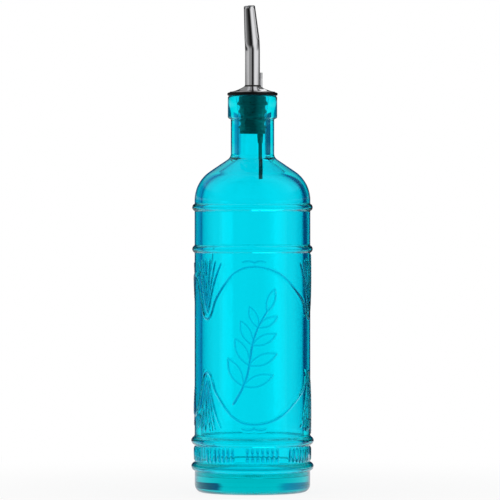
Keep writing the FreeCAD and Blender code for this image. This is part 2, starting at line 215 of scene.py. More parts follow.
def skin(name, rings, material, loop=False):
    """One closed skin through a row of rings. A loop joins the last ring to the first.

    The faces are turned so that the volume that they close is positive, which points them outwards.
    """
    counts = np.array([len(ring) for ring in rings])
    starts = np.concatenate([[0], np.cumsum(counts)[:-1]])
    numbers = [start + np.arange(count) for start, count in zip(starts, counts)]
    points = np.concatenate(rings) * MM
    pairs = list(zip(numbers[:-1], numbers[1:]))
    if loop:
        pairs.append((numbers[-1], numbers[0]))
    groups = [group for low, high in pairs for group in strip(low, high)]
    volume = 0.0
    for group in groups:
        for k in range(1, group.shape[1] - 1):
            a, b, c = points[group[:, 0]], points[group[:, k]], points[group[:, k + 1]]
            volume += np.einsum("ij,ij->", a, np.cross(b, c))
    if volume < 0:
        groups = [group[:, ::-1] for group in groups]
    sizes = np.concatenate([np.full(len(group), group.shape[1]) for group in groups])
    corners = np.concatenate([group.ravel() for group in groups])
    mesh = bpy.data.meshes.new(name)
    mesh.vertices.add(len(points))
    mesh.vertices.foreach_set("co", points.ravel())
    mesh.loops.add(len(corners))
    mesh.loops.foreach_set("vertex_index", corners.astype(np.int32))
    mesh.polygons.add(len(sizes))
    mesh.polygons.foreach_set("loop_start", (np.cumsum(sizes) - sizes).astype(np.int32))
    mesh.polygons.foreach_set("use_smooth", np.ones(len(sizes), dtype=bool))
    mesh.update(calc_edges=True)
    mesh.validate()
    mesh.materials.append(material)
    piece = bpy.data.objects.new(name, mesh)
    bpy.context.scene.collection.objects.link(piece)
    return piece


# Nodes

def add(tree, kind, sockets=None, **settings):
    """Add one shader node.

    A socket takes a plain value, another node's output, or another node, whose first output in use is linked.
    """
    node = tree.nodes.new(kind)
    for key, value in settings.items():
        setattr(node, key, value)
    for key, value in (sockets or {}).items():
        if isinstance(value, bpy.types.Node):
            value = next(output for output in value.outputs if output.enabled)
        if isinstance(value, bpy.types.NodeSocket):
            tree.links.new(value, node.inputs[key])
        else:
            node.inputs[key].default_value = value
    return node


def new_material(name):
    """An empty node material, its node tree, and the place on the piece in metres."""
    material = bpy.data.materials.new(name)
    material.use_nodes = True
    tree = material.node_tree
    tree.nodes.clear()
    return material, tree, add(tree, "ShaderNodeTexCoord").outputs["Object"]


def soda_lime_glass(finish):
    """Press-moulded soda-lime glass, coloured through with copper: clear, with a hard gloss and faint waves.

    Light loses red almost at once and green slowly, so thick glass turns from cyan to deep blue. The raised
    lines of the ornament get a painted shade, a darker blue tint, and the glass seen edge on a painted deep
    blue.
    """
    material, tree, place = new_material("turquoise_soda_lime_glass")
    # chill waves of the mould, about 18 mm long
    waves = add(tree, "ShaderNodeTexNoise", {"Vector": place, "Scale": 55.0, "Detail": 1.0, "Roughness": 0.4})
    bump = add(tree, "ShaderNodeBump", {"Height": waves, "Strength": 0.04, "Distance": 2.0 * MM})
    # the standing edge is knurled: 120 fine teeth, 1.7 mm apart, on its lowest 1.8 mm
    parts = add(tree, "ShaderNodeSeparateXYZ", {0: place})
    turn = add(tree, "ShaderNodeMath", {0: parts.outputs["X"], 1: parts.outputs["Y"]}, operation="ARCTAN2")
    teeth = add(tree, "ShaderNodeMath", {0: turn, 1: 120.0}, operation="MULTIPLY")
    teeth = add(tree, "ShaderNodeMath", {0: teeth}, operation="SINE")
    low = add(tree, "ShaderNodeMapRange", {
        "Value": parts.outputs["Z"], "From Min": 1.8 * MM, "From Max": 1.0 * MM})
    knurl = add(tree, "ShaderNodeMath", {0: teeth, 1: low}, operation="MULTIPLY")
    bump = add(tree, "ShaderNodeBump", {"Height": knurl, "Distance": 0.3 * MM, "Normal": bump})
    # painted shade: the raised lines are tinted darker blue by how far they stand out
    raised = add(tree, "ShaderNodeAttribute", attribute_name="raised").outputs["Fac"]
    tint_with_painted_shade = add(tree, "ShaderNodeMix", {"Factor": raised, 6: finish.skin, 7: finish.line}, data_type="RGBA")
    # painted shade: seen edge on, past about 60 degrees, the glass is tinted deep blue, as a long way through
    # the wall would turn it
    facing = add(tree, "ShaderNodeLayerWeight", {"Blend": 0.5}).outputs["Facing"]
    edge = add(tree, "ShaderNodeMapRange", {
        "Value": facing, "From Min": 0.55, "From Max": 0.87}, interpolation_type="SMOOTHSTEP")
    tint_with_painted_shade = add(tree, "ShaderNodeMix", {"Factor": edge, 6: tint_with_painted_shade, 7: finish.edge}, data_type="RGBA")
    glass = add(tree, "ShaderNodeBsdfPrincipled", {
        "Base Color": tint_with_painted_shade, "Roughness": 0.0, "IOR": 1.52, "Transmission Weight": 1.0,
        "Specular Tint": finish.gloss, "Normal": bump})
    absorb = add(tree, "ShaderNodeVolumeAbsorption", {"Color": finish.glass, "Density": finish.glass_depth})
    add(tree, "ShaderNodeOutputMaterial", {"Surface": glass, "Volume": absorb})
    return material


def polished_steel(finish):
    """Drawn stainless steel tube and pressed sheet, buffed bright: a mirror with a fine lengthwise grain."""
    material, tree, place = new_material("polished_stainless_steel")
    # buffing lines 0.25 mm apart round the tube, drawn out twenty times along it
    stretch = add(tree, "ShaderNodeMapping", {"Vector": place, "Scale": (4000.0, 4000.0, 200.0)})
    grain = add(tree, "ShaderNodeTexNoise", {"Vector": stretch, "Scale": 1.0, "Detail": 2.0})
    # finger haze in patches of about 6 mm
    haze = add(tree, "ShaderNodeTexNoise", {"Vector": place, "Scale": 160.0, "Detail": 3.0})
    rough = add(tree, "ShaderNodeMapRange", {
        "Value": haze, "From Min": 0.35, "From Max": 0.7, "To Min": 0.04, "To Max": 0.09})
    bump = add(tree, "ShaderNodeBump", {"Height": grain, "Strength": 0.03, "Distance": 0.2 * MM})
    steel = add(tree, "ShaderNodeBsdfPrincipled", {
        "Base Color": finish.steel, "Metallic": 1.0, "Roughness": rough, "Normal": bump})
    add(tree, "ShaderNodeOutputMaterial", {"Surface": steel})
    return material


def grainy(name, sockets, grit, detail, rough, strength):
    """A material whose fine grain, of a grit in millimetres, varies its roughness and bumps its skin."""
    material, tree, place = new_material(name)
    grain = add(tree, "ShaderNodeTexNoise", {"Vector": place, "Scale": 1000.0 / grit, "Detail": detail})
    spread = add(tree, "ShaderNodeMapRange", {
        "Value": grain, "From Min": 0.3, "From Max": 0.7, "To Min": rough[0], "To Max": rough[1]})
    bump = add(tree, "ShaderNodeBump", {"Height": grain, "Strength": strength, "Distance": 0.2 * MM})
    surface = add(tree, "ShaderNodeBsdfPrincipled", {**sockets, "Roughness": spread, "Normal": bump})
    add(tree, "ShaderNodeOutputMaterial", {"Surface": surface})
    return material


def moulded_rubber(name, base, sheen, grit):
    """Moulded black rubber: dark, soft gloss, a fine grit from the mould of the given size in millimetres."""
    sockets = {"Base Color": base, "Specular IOR Level": 0.15}
    return grainy(name, sockets, grit, 2.0, (sheen - 0.06, sheen + 0.06), 0.12)


def braze_filler(finish):
    """Silver braze wiped round the joint: a dull grey metal with a grainy skin, two thirds of a mm coarse."""
    sockets = {"Base Color": finish.braze, "Metallic": 1.0}
    return grainy("braze_filler", sockets, 2 / 3, 3.0, (0.35, 0.6), 0.3)


# Raised ornament of the glass

# Middle height of the ornament, which is the same above and below it.
MIDDLE = 89.5
# Middle height of the reeds in the low band, and how far they reach up and down from it.
REED_MIDDLE, REED_REACH = 23.4, 4.4
# The wavy line round the fields: angle, and height above the middle. It hangs low at each pendant, and its
# two ends run up to the ring on either side of the smooth label field at the back.
WAVE = np.array([
    (-131.0, 54.0), (-126.0, 41.0), (-120.0, 27.0), (-115.0, 18.6), (-110.0, 16.2), (-104.6, 18.1),
    (-99.5, 25.9), (-92.5, 36.6), (-84.5, 41.8), (-76.0, 41.8), (-68.0, 36.6), (-61.0, 25.9), (-56.0, 18.1),
    (-50.4, 16.2), (-45.0, 18.9), (-40.0, 26.6), (-33.6, 32.7), (-27.3, 37.6), (-19.2, 42.8), (-10.0, 46.1),
    (0.6, 47.2), (12.0, 46.5), (24.0, 44.0), (34.2, 40.2), (49.5, 32.4), (60.0, 26.8), (65.0, 22.2),
    (69.0, 18.0), (73.0, 16.2), (77.0, 18.0), (83.0, 28.0), (89.0, 41.0), (94.0, 54.0)])
PENDANTS = (-110.0, -50.4, 73.0)


def smooth_path(points, count):
    """A curve through all the points: between two points, a cubic whose slopes follow the neighbours."""
    slope = np.gradient(points, axis=0)
    t = np.linspace(0, len(points) - 1, count)
    k = np.minimum(t.astype(int), len(points) - 2)
    s = (t - k)[:, None]
    return ((1 + 2 * s) * (1 - s) ** 2 * points[k] + s * (1 - s) ** 2 * slope[k]
            + s ** 2 * (3 - 2 * s) * points[k + 1] + s ** 2 * (s - 1) * slope[k + 1])


def bowed(start, control, end, count=40):
    """A curve from start to end that leans towards the control point."""
    t = np.linspace(0, 1, count)[:, None]
    return (1 - t) ** 2 * np.asarray(start) + 2 * t * (1 - t) * np.asarray(control) + t ** 2 * np.asarray(end)


def distance(points, path, reach=3.0):
    """Least distance from each point to a path of short straight pieces, and how far along the path that is.

    Points further off than the reach are left at infinity.
    """
    best = np.full(len(points), np.inf)
    along = np.zeros(len(points))
    steps = len(path) - 1
    for k in range(steps):
        low = np.minimum(path[k], path[k + 1]) - reach
        high = np.maximum(path[k], path[k + 1]) + reach
        near = np.flatnonzero(np.all((points > low) & (points < high), axis=1))
        edge = path[k + 1] - path[k]
        t = np.clip((points[near] - path[k]) @ edge / (edge @ edge), 0, 1)
        gap = np.linalg.norm(points[near] - path[k] - t[:, None] * edge, axis=1)
        nearer = gap < best[near]
        best[near[nearer]] = gap[nearer]
        along[near[nearer]] = (k + t[nearer]) / steps
    return best, along


def hump(gap, half_width):
    """One at no distance, falling in a smooth round to nothing at the half width."""
    return 0.5 + 0.5 * np.cos(np.pi * np.clip(gap / half_width, 0, 1))


def from_the_back(turn):
    """Angles brought into the one turn that starts at the back, 220 degrees to the left of the front."""
    return (turn + 220.0) % 360.0 - 220.0


def relief(turn, height, sizes):
    """Height of the raised ornament over the body, for a grid of angles and heights.

    It is the largest of a round line along the wave, the ribs that spread from each pendant towards the ring,
    a small scroll over the front field, and a leafy sprig in it.
    """
    to_arc = math.radians(1) * sizes.body_diameter / 2 / MM
    turn = from_the_back(turn)
    points = np.stack([turn.ravel() * to_arc, height.ravel() - MIDDLE], axis=1)
    folded = np.stack([points[:, 0], np.abs(points[:, 1])], axis=1)
    gap, _ = distance(folded, smooth_path(WAVE, 400) * (to_arc, 1))
    high = hump(gap, sizes.relief_width / 2 / MM)
    rib_pitch, rib_foot, rib_waist, rib_top = 7.0, 19.5, 38.0, 51.5
    for middle in PENDANTS:
        for step in (-2.5, -1.5, -0.5, 0.5, 1.5, 2.5):
            spread = rib_pitch * step
            foot = (middle + 0.16 * spread, rib_foot + 1.5 * abs(step))
            waist = (middle + 0.42 * spread, rib_waist)
            top = (middle + spread, rib_top - abs(step))
            gap, along = distance(folded, bowed(foot, waist, top) * (to_arc, 1))
            high = np.maximum(high, 0.8 * hump(gap, 0.6 + 0.45 * np.sin(np.pi * along)))
    centre, low, crest, tip = 1.5, 49.6, 51.4, 50.0
    for side in (-1, 1):
        scroll = bowed((centre, low), (centre + side * 5, crest), (centre + side * 11.5, tip), 16)
        gap, along = distance(folded, scroll * (to_arc, 1))
        high = np.maximum(high, 0.8 * hump(gap, 1.2 - 0.5 * along))
    high = np.maximum(high, sprig(points, to_arc))
    return high.reshape(turn.shape) * sizes.relief_height / MM


def sprig(points, to_arc):
    """A leaning sprig: a stem with pairs of lance-shaped leaves that grow smaller upwards, and one on top.

    It is laid out upright about its middle, and the points are turned back by its lean. A leaf is drawn in
    raised line: two bows from its foot to its tip.
    """
    lean = math.radians(20)
    turn = np.array([[math.cos(lean), math.sin(lean)], [-math.sin(lean), math.cos(lean)]])
    points = (points - (2.0 * to_arc, 0.0)) @ turn
    foot, top, sway = -37.0, 22.0, 2.0
    rise = np.linspace(foot, top, 60)
    stem = np.stack([sway * np.sin((rise - foot) / (top - foot) * 2 * np.pi), rise], axis=1)
    gap, along = distance(points, stem)
    high = 1.3 * hump(gap, 1.15 - 0.3 * along)
    # height of each pair of leaves on the stem, their length, and their angle to it
    pairs = ((-25.0, 19.0, 50.0), (-12.0, 18.0, 48.0), (0.0, 16.0, 46.0), (11.0, 13.5, 42.0))
    leaves = [(up, size, side * spread) for up, size, spread in pairs for side in (-1, 1)]
    for up, size, spread in (*leaves, (top, 14.0, 0.0)):
        ahead = np.array([math.sin(math.radians(spread)), math.cos(math.radians(spread))])
        aside = np.array([ahead[1], -ahead[0]])
        start = np.array([np.interp(up, stem[:, 1], stem[:, 0]), up])
        for bow in (-0.34, 0.34):
            line = bowed(start, start + 0.5 * size * ahead + bow * size * aside, start + size * ahead, 20)
            gap, along = distance(points, line)
            high = np.maximum(high, 0.75 * hump(gap, 1.05 - 0.2 * along))
    return high


def reeds(turn, height, sizes):
    """Height of the upright reeds in the low band: groups of seven, bare over the back.

    Each reed is a round wave over 5 degrees, and the groups follow each other every 45 degrees.
    """
    turn = from_the_back(turn)
    pitch, period, first, half_group = 5.0, 45.0, 10.0, 17.5
    place = (turn - first + period / 2) % period - period / 2
    rise = 0.5 + 0.5 * np.cos(np.radians(place * (360 / pitch)))
    ends = np.clip((REED_REACH - np.abs(height - REED_MIDDLE)) / 1.2, 0, 1)
    group = np.abs(place) < half_group
    front = (turn > -130) & (turn < 95)
    return 0.9 * rise * ends * group * front * sizes.relief_height / MM


# Glass bottle

# Height of the hollow under the foot, and of the floor inside
PUNT, FLOOR = 3.5, 9.5
# Radius of the shoulder's round, and of the edges of the band at the mouth
SHOULDER_BEND, BAND_EDGE = 21.0, 1.4
# The two low rings: height of the middle, half of the width, and how far it stands out
LOW_RINGS = ((15.6, 2.65, 2.05), (31.2, 2.65, 2.05))


def bead(body, height, half, rise):
    """A round ring on the body: an arc through its two feet and its top."""
    radius = (half ** 2 + rise ** 2) / (2 * rise)
    spread = math.degrees(math.asin(half / radius))
    return rounded((body + rise - radius, height), radius, -spread, spread, 9)


def plain(body, low, high):
    """The body wall between two rings, with rows close to its ends so that the corners stay crisp."""
    return np.array([(body, low), (body, low + 0.5), (body, high - 0.5)])


def shoulder(wall_radius, start, bend, end_radius, end_bend, counts):
    """A round, a cone and a fillet from the straight wall to the neck, each running on into the next.

    The height at which the fillet meets the neck comes with it.
    """
    slope = 34.0
    lean = 90 - slope
    cut = 1 - math.cos(math.radians(lean))
    cone_start = wall_radius - bend * cut
    cone_start_up = start + bend * math.sin(math.radians(lean))
    cone_end = end_radius + end_bend * cut
    cone_end_up = cone_start_up + (cone_start - cone_end) * math.tan(math.radians(slope))
    neck_up = cone_end_up + end_bend * math.sin(math.radians(lean))
    return np.concatenate([
        rounded((wall_radius - bend, start), bend, 0, lean, counts[0]),
        straight((cone_start, cone_start_up), (cone_end, cone_end_up), counts[1]),
        rounded((end_radius + end_bend, neck_up), end_bend, 180 + lean, 180, counts[2])]), neck_up


def foot_profile(body):
    """Outline of the foot: the hollow under it, the standing edge, the round heel and the lowest ring."""
    heel, foot_width = 4.6, 3.9
    foot = body - heel
    hollow = foot - foot_width
    punt_radius = (hollow ** 2 + PUNT ** 2) / (2 * PUNT)
    punt_angle = math.degrees(math.asin(hollow / punt_radius))
    height, half, rise = LOW_RINGS[0]
    return np.concatenate([
        rounded((0, PUNT - punt_radius), punt_radius, 90, 90 - punt_angle, 8)[1:],
        straight((hollow, 0), (foot, 0), 4),
        rounded((foot, heel), heel, -90, 0, 9),
        plain(body, heel, height - half),
        bead(body, height, half, rise)])


def neck_profile(sizes, body):
    """Outline from the two high rings over the shoulder and the neck to the top of the band at the mouth."""
    start = sizes.body_height / MM
    neck, finish = sizes.neck_diameter / 2 / MM, sizes.finish_diameter / 2 / MM
    half, rise = 2.25, 1.45
    high_ring = start - 4.3
    low_ring = high_ring - 25.2
    slant, neck_up = shoulder(body, start, SHOULDER_BEND, neck, 4.3, (13, 3, 7))
    finish_up, fillet = RIM - 14.0, 0.8
    return np.concatenate([
        bead(body, low_ring, half, rise),
        plain(body, low_ring + half, high_ring - half),
        bead(body, high_ring, half, rise),
        plain(body, high_ring + half, start)[:2],
        slant,
        straight((neck, neck_up), (neck, finish_up - fillet), 3),
        rounded((neck + fillet, finish_up - fillet), fillet, 180, 90, 4),
        rounded((finish - BAND_EDGE, finish_up + BAND_EDGE), BAND_EDGE, -90, 0, 6),
        straight((finish, finish_up + BAND_EDGE), (finish, RIM - BAND_EDGE), 2),
        rounded((finish - BAND_EDGE, RIM - BAND_EDGE), BAND_EDGE, 0, 90, 6)])


def inside_profile(sizes, body):
    """Outline from the rim through the flared mouth and the bore, and down the inside wall to the floor."""
    start, wall = sizes.body_height / MM, sizes.body_wall / MM
    inner, bore = body - wall, sizes.bore / 2 / MM
    finish = sizes.finish_diameter / 2 / MM
    mouth, lip, flare, corner = bore + 1.7, 1.0, 10.6, 8.0
    slant, throat_up = shoulder(inner, start, SHOULDER_BEND - wall, bore, 3.0, (12, 3, 7))
    return np.concatenate([
        straight((finish - BAND_EDGE, RIM), (mouth + lip, RIM), 2),
        rounded((mouth + lip, RIM - lip), lip, 90, 180, 6),
        straight((mouth, RIM - lip), (bore, RIM - flare), 3),
        straight((bore, RIM - flare), (bore, throat_up), 3),
        slant[::-1],
        straight((inner, start - 4), (inner, FLOOR + corner), 4),
        rounded((inner - corner, FLOOR + corner), corner, 0, -90, 9),
        straight((inner - corner, FLOOR), (0.5, FLOOR), 4)])


def glass_rings(sizes):
    """Rings of the glass from the hollow under the foot, up the outside, over the lip and down the inside.

    The foot, rings, neck and inside are turned profiles. In the low band and between the two middle rings the
    radius is that of the body plus a raised ornament, on a finer grid.
    """
    body = sizes.body_diameter / 2 / MM
    # columns close together over the front, wider apart at the sides and over the smooth back
    columns = np.concatenate([
        np.linspace(-145, -75, 64, endpoint=False), np.linspace(-75, 55, 216, endpoint=False),
        np.linspace(55, 100, 60, endpoint=False), np.linspace(100, 215, 36, endpoint=False)])
    coarse, coarsest = columns[::2], columns[::4]
    # rows of the low band, close together at its ends and at those of the reeds
    band_rows = np.array([18.25, 18.75, 19.4, 20.2, 22.3, 24.5, 26.6, 27.4, 28.05])
    field_rows = MIDDLE + np.linspace(-55.15, 55.15, 176)

    def moulded(heights, raised):
        """Rings of the body wall at the given heights, with an ornament raised on it."""
        turn, height = np.meshgrid(columns, heights)
        radius = body + raised(turn, height, sizes)
        x, y = radius * np.sin(np.radians(turn)), -radius * np.cos(np.radians(turn))
        return list(np.stack([x, y, height], axis=2))

    return [
        np.array([[0, 0, PUNT]]),
        *turned(foot_profile(body), coarse),
        *moulded(band_rows, reeds),
        *turned(bead(body, *LOW_RINGS[1]), coarse),
        *moulded(field_rows, relief),
        *turned(neck_profile(sizes, body), coarse),
        *turned(inside_profile(sizes, body), coarsest),
        np.array([[0, 0, FLOOR]])]


def mark_raised(piece, sizes):
    """Keep on each point of the ornament how far it stands out of the body wall, from nothing to one."""
    points = np.zeros(3 * len(piece.data.vertices), dtype=np.float32)
    piece.data.vertices.foreach_get("co", points)
    x, y, z = points.reshape(-1, 3).T
    stands = np.clip((np.hypot(x, y) - sizes.body_diameter / 2) / sizes.relief_height, 0, 1)
    field_reach = 54.5
    field = (np.abs(z / MM - MIDDLE) < field_reach) | (np.abs(z / MM - REED_MIDDLE) < REED_REACH)
    layer = piece.data.attributes.new("raised", "FLOAT", "POINT")
    layer.data.foreach_set("value", (stands * field).astype(np.float32))


class BOTTLE_OT_glass(bpy.types.Operator):
    """Make the moulded glass bottle with its rings and raised ornament"""
    bl_idname = "bottle.glass"
    bl_label = "Glass Bottle"

    def execute(self, context):
        settings = context.scene.oil_bottle
        piece = skin("glass_bottle_moulded", glass_rings(settings.glass), soda_lime_glass(settings.finish))
        mark_raised(piece, settings.glass)
        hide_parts("glass_bottle")
        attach(piece, "bottle")
        return {"FINISHED"}


# Collar, stopper and breather tube

class BOTTLE_OT_collar(bpy.types.Operator):
    """Make the black collar that seals the mouth"""
    bl_idname = "bottle.collar"
    bl_label = "Sealing Collar"

    def execute(self, context):
        finish = context.scene.oil_bottle.finish
        outer, hole, edge, bevel = 15.23, 8.08, 0.8, 0.15
        profile = np.concatenate([
            rounded((hole + bevel, RIM + bevel), bevel, 180, 270, 3),
            straight((hole + bevel, RIM), (outer - edge, RIM), 4),
            rounded((outer - edge, RIM + edge), edge, -90, 0, 7),
            rounded((outer - edge, COLLAR_TOP - edge), edge, 0, 90, 7),
            straight((outer - edge, COLLAR_TOP), (hole + bevel, COLLAR_TOP), 4),
            rounded((hole + bevel, COLLAR_TOP - bevel), bevel, 90, 180, 3)])
        rubber = moulded_rubber("black_epdm_rubber", finish.rubber, 0.38, 0.5)
        piece = skin("sealing_collar_rubber", turned(profile, around(160)), rubber, loop=True)
        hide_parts("sealing_collar")
        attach(piece, "collar")
        return {"FINISHED"}


def stopper_profile():
    """Outline of the stopper: a core with round-edged fins that reach the bore, and a hole for the spout."""
    core, neck, hole = 7.93, 8.3, SPOUT_HOLE
    bevel, chamfer = 0.4, 0.2
    parts = [rounded((hole + chamfer, STOPPER_FOOT + chamfer), chamfer, 180, 270, 3),
             rounded((core - bevel, STOPPER_FOOT + bevel), bevel, -90, 0, 4)]
    # depth of each fin under the rim, its reach, and the grooves below and above it
    fins = ((19.0, 8.63, 7.7, 7.2), (14.4, 8.63, 7.2, 7.2), (9.8, 8.7, 7.2, 7.7), (5.5, 9.55, 7.7, neck))
    # radius of a fin's tip, and how far from its middle its sides bow and run out
    tip, knee, run = 0.4, 1.0, 2.1
    for depth, reach, below, above in fins:
        middle = RIM - depth
        parts += [
            bowed((below, middle - run), (below, middle - knee), (reach - tip / 2, middle - tip), 6),
            rounded((reach - tip, middle), tip, -60, 60, 5),
            bowed((reach - tip / 2, middle + tip), (above, middle + knee), (above, middle + run), 6)]
    parts += [straight((neck, RIM - 2.7), (neck, RIM - 0.5), 3),
              straight((core + 0.2, RIM - 0.1), (core, RIM + 0.1), 2),
              straight((core, RIM + 0.3), (core, COLLAR_TOP - chamfer), 3),
              straight((core - chamfer, COLLAR_TOP), (hole + chamfer, COLLAR_TOP), 3),
              straight((hole, COLLAR_TOP - chamfer), (hole, STOPPER_FOOT + 2 * chamfer), 5)]
    return np.concatenate(parts)


def boss_profile():
    """Outline of the boss under the stopper: down its hole, round the narrow tip and up into the stopper."""
    hole, tip, root = 1.28, 1.7, 1.95
    chamfer, edge = 0.2, 0.25
    top, neck = STOPPER_FOOT + 1.0, STOPPER_FOOT - 2.0
    return np.concatenate([
        straight((hole, top), (hole, STOPPER_TIP + chamfer), 3),
        rounded((hole + chamfer, STOPPER_TIP + chamfer), chamfer, 180, 270, 3),
        rounded((tip - edge, STOPPER_TIP + edge), edge, -90, 0, 5),
        straight((tip, STOPPER_TIP + edge), (root, neck), 4),
        straight((root, neck), (root, STOPPER_FOOT), 2),
        straight((root, STOPPER_FOOT), (root, top), 2),
        straight((root, top), (hole, top), 2)])


class BOTTLE_OT_stopper(bpy.types.Operator):
    """Make the ribbed stopper with its boss, and the breather tube that hangs from it"""
    bl_idname = "bottle.stopper"
    bl_label = "Stopper"

    def execute(self, context):
        finish = context.scene.oil_bottle.finish
        rubber = moulded_rubber("black_tpe_rubber", finish.stopper, 0.42, 0.4)
        plastic = moulded_rubber("black_polyethylene", finish.plastic, 0.3, 0.25)
        axis = tuple((BREATHER_LOW[:2] + BREATHER_HIGH[:2]) / 2)
        piece = skin("stopper_ribbed", turned(stopper_profile(), around(120)), rubber, loop=True)
        socket = skin("stopper_boss", turned(boss_profile(), around(40), axis), rubber, loop=True)
        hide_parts("stopper")
        for part in (piece, socket):
            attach(part, "stopper")
        bore, outer = 0.75, 1.25
        tube = drawn_tube(bore, outer, BREATHER_LOW[2], BREATHER_HIGH[2], 0)
        breather = skin("breather_tube_drawn", turned(tube, around(32), axis), plastic, loop=True)
        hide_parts("breather_tube")
        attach(breather, "stopper")
        return {"FINISHED"}


# Steel set

def spout_rings(sizes, columns=72):
    """Rings of the spout: up the outside along a straight run, a bend and a taper, then down the bore.

    Each ring stands square to the path. The path's plane holds the heading, so one direction stays level.
    """
    lean, heading = sizes.spout_lean, sizes.spout_heading
    bend, taper = sizes.bend_radius / MM, sizes.taper / MM
    outer, tip = sizes.spout_diameter / 2 / MM, sizes.tip_diameter / 2 / MM
    wall = sizes.spout_wall / MM
    bend_up = RIM + sizes.bend_height / MM
    run = np.concatenate([
        np.linspace(SPOUT_FOOT, bend_up, 14, endpoint=False),
        bend_up + bend * np.linspace(0, lean, 14, endpoint=False),
        bend_up + bend * lean + np.linspace(0, taper, 14)])
    tilt = np.clip((run - bend_up) / bend, 0, lean)
    past = np.clip(run - bend_up - bend * lean, 0, None)
    forward = bend * (1 - np.cos(tilt)) + past * math.sin(lean)
    upward = np.minimum(run, bend_up) + bend * np.sin(tilt) + past * math.cos(lean)
    radius = outer + (tip - outer) * past / taper

    def ring(k, size, ahead=0.0):
        """Circle of a size round the path's point k, moved ahead along the path."""
        turn = np.radians(around(columns))
        out = forward[k] + ahead * math.sin(tilt[k]) + size * np.cos(turn) * math.cos(tilt[k])
        up = upward[k] + ahead * math.cos(tilt[k]) - size * np.cos(turn) * math.sin(tilt[k])
        side = size * np.sin(turn)
        x = out * math.cos(heading) - side * math.sin(heading)
        y = out * math.sin(heading) + side * math.cos(heading)
        return np.stack([x, y, up], axis=1)

    last = len(run) - 1
    lip = wall / 2
    edge = np.radians(np.linspace(0, 180, 9))
    middle = radius - lip
    foot = [ring(0, middle[0] + lip * math.cos(a), lip - lip * math.sin(a)) for a in edge[::-1]]
    outside = [ring(k, radius[k]) for k in range(1, last)]
    mouth = [ring(last, middle[last] + lip * math.cos(a), lip * math.sin(a) - lip) for a in edge]
    inside = [ring(k, radius[k] - wall) for k in range(last - 1, 0, -1)]
    return foot + outside + mouth + inside


def cap_profile():
    """Outline of the steel cone: a sheet that sweeps in a shallow hollow from its rolled rim to the crown."""
    edge, waist, crown, hole = 13.83, 9.6, 5.4, SPOUT_HOLE
    sheet, roll = 0.6, 0.25
    under = CROWN - sheet
    return np.concatenate([
        straight((edge - sheet, COLLAR_TOP), (edge - roll, COLLAR_TOP), 2),
        rounded((edge - roll, COLLAR_TOP + roll), roll, -90, 80, 7),
        bowed((edge - 0.35, COLLAR_TOP + 0.52), (waist, COLLAR_TOP + 0.95), (crown + 0.05, CROWN - 0.15), 24),
        bowed((crown, CROWN - 0.12), (crown - 0.2, CROWN), (crown - 0.4, CROWN), 4),
        straight((crown - 0.4, CROWN), (hole, CROWN), 3)[1:],
        straight((hole, CROWN), (hole, under), 2),
        straight((hole, under), (crown, under - 0.15), 2),
        bowed((crown, under - 0.15), (waist, COLLAR_TOP + 0.4), (edge - sheet, COLLAR_TOP), 16)[:-1]])


def braze_profile():
    """Outline of the wiped braze: a flat foot on the crown, and a hollow side that runs up the spout."""
    reach, rise = 5.25, 0.9
    return np.concatenate([
        straight((SPOUT_HOLE, CROWN), (reach, CROWN), 3),
        bowed((reach, CROWN), (4.75, CROWN + 0.3), (SPOUT_HOLE, CROWN + rise), 8)])


class BOTTLE_OT_steel_set(bpy.types.Operator):
    """Make the steel cone, the spout, the vent pipe and the braze ring"""
    bl_idname = "bottle.steel_set"
    bl_label = "Steel Set"

    def execute(self, context):
        settings = context.scene.oil_bottle
        steel = polished_steel(settings.finish)
        cap = skin("dome_cap_pressed", turned(cap_profile(), around(160)), steel, loop=True)
        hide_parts("dome_cap")
        spout = skin("spout_tube_drawn", spout_rings(settings.pourer), steel, loop=True)
        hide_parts("spout_tube")
        axis = tuple((VENT_LOW[:2] + VENT_HIGH[:2]) / 2)
        bore, outer = 0.65, 1.0
        pipe = drawn_tube(bore, outer, VENT_LOW[2], VENT_HIGH[2], 6)
        vent = skin("vent_pipe_drawn", turned(pipe, around(40), axis), steel, loop=True)
        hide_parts("vent_pipe")
        for part in (cap, spout, vent):
            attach(part, "spout")
        filler = braze_filler(settings.finish)
        braze = skin("braze_ring_wiped", turned(braze_profile(), around(96)), filler, loop=True)
        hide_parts("braze_ring")
        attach(braze, "spout")
        return {"FINISHED"}


# Stage

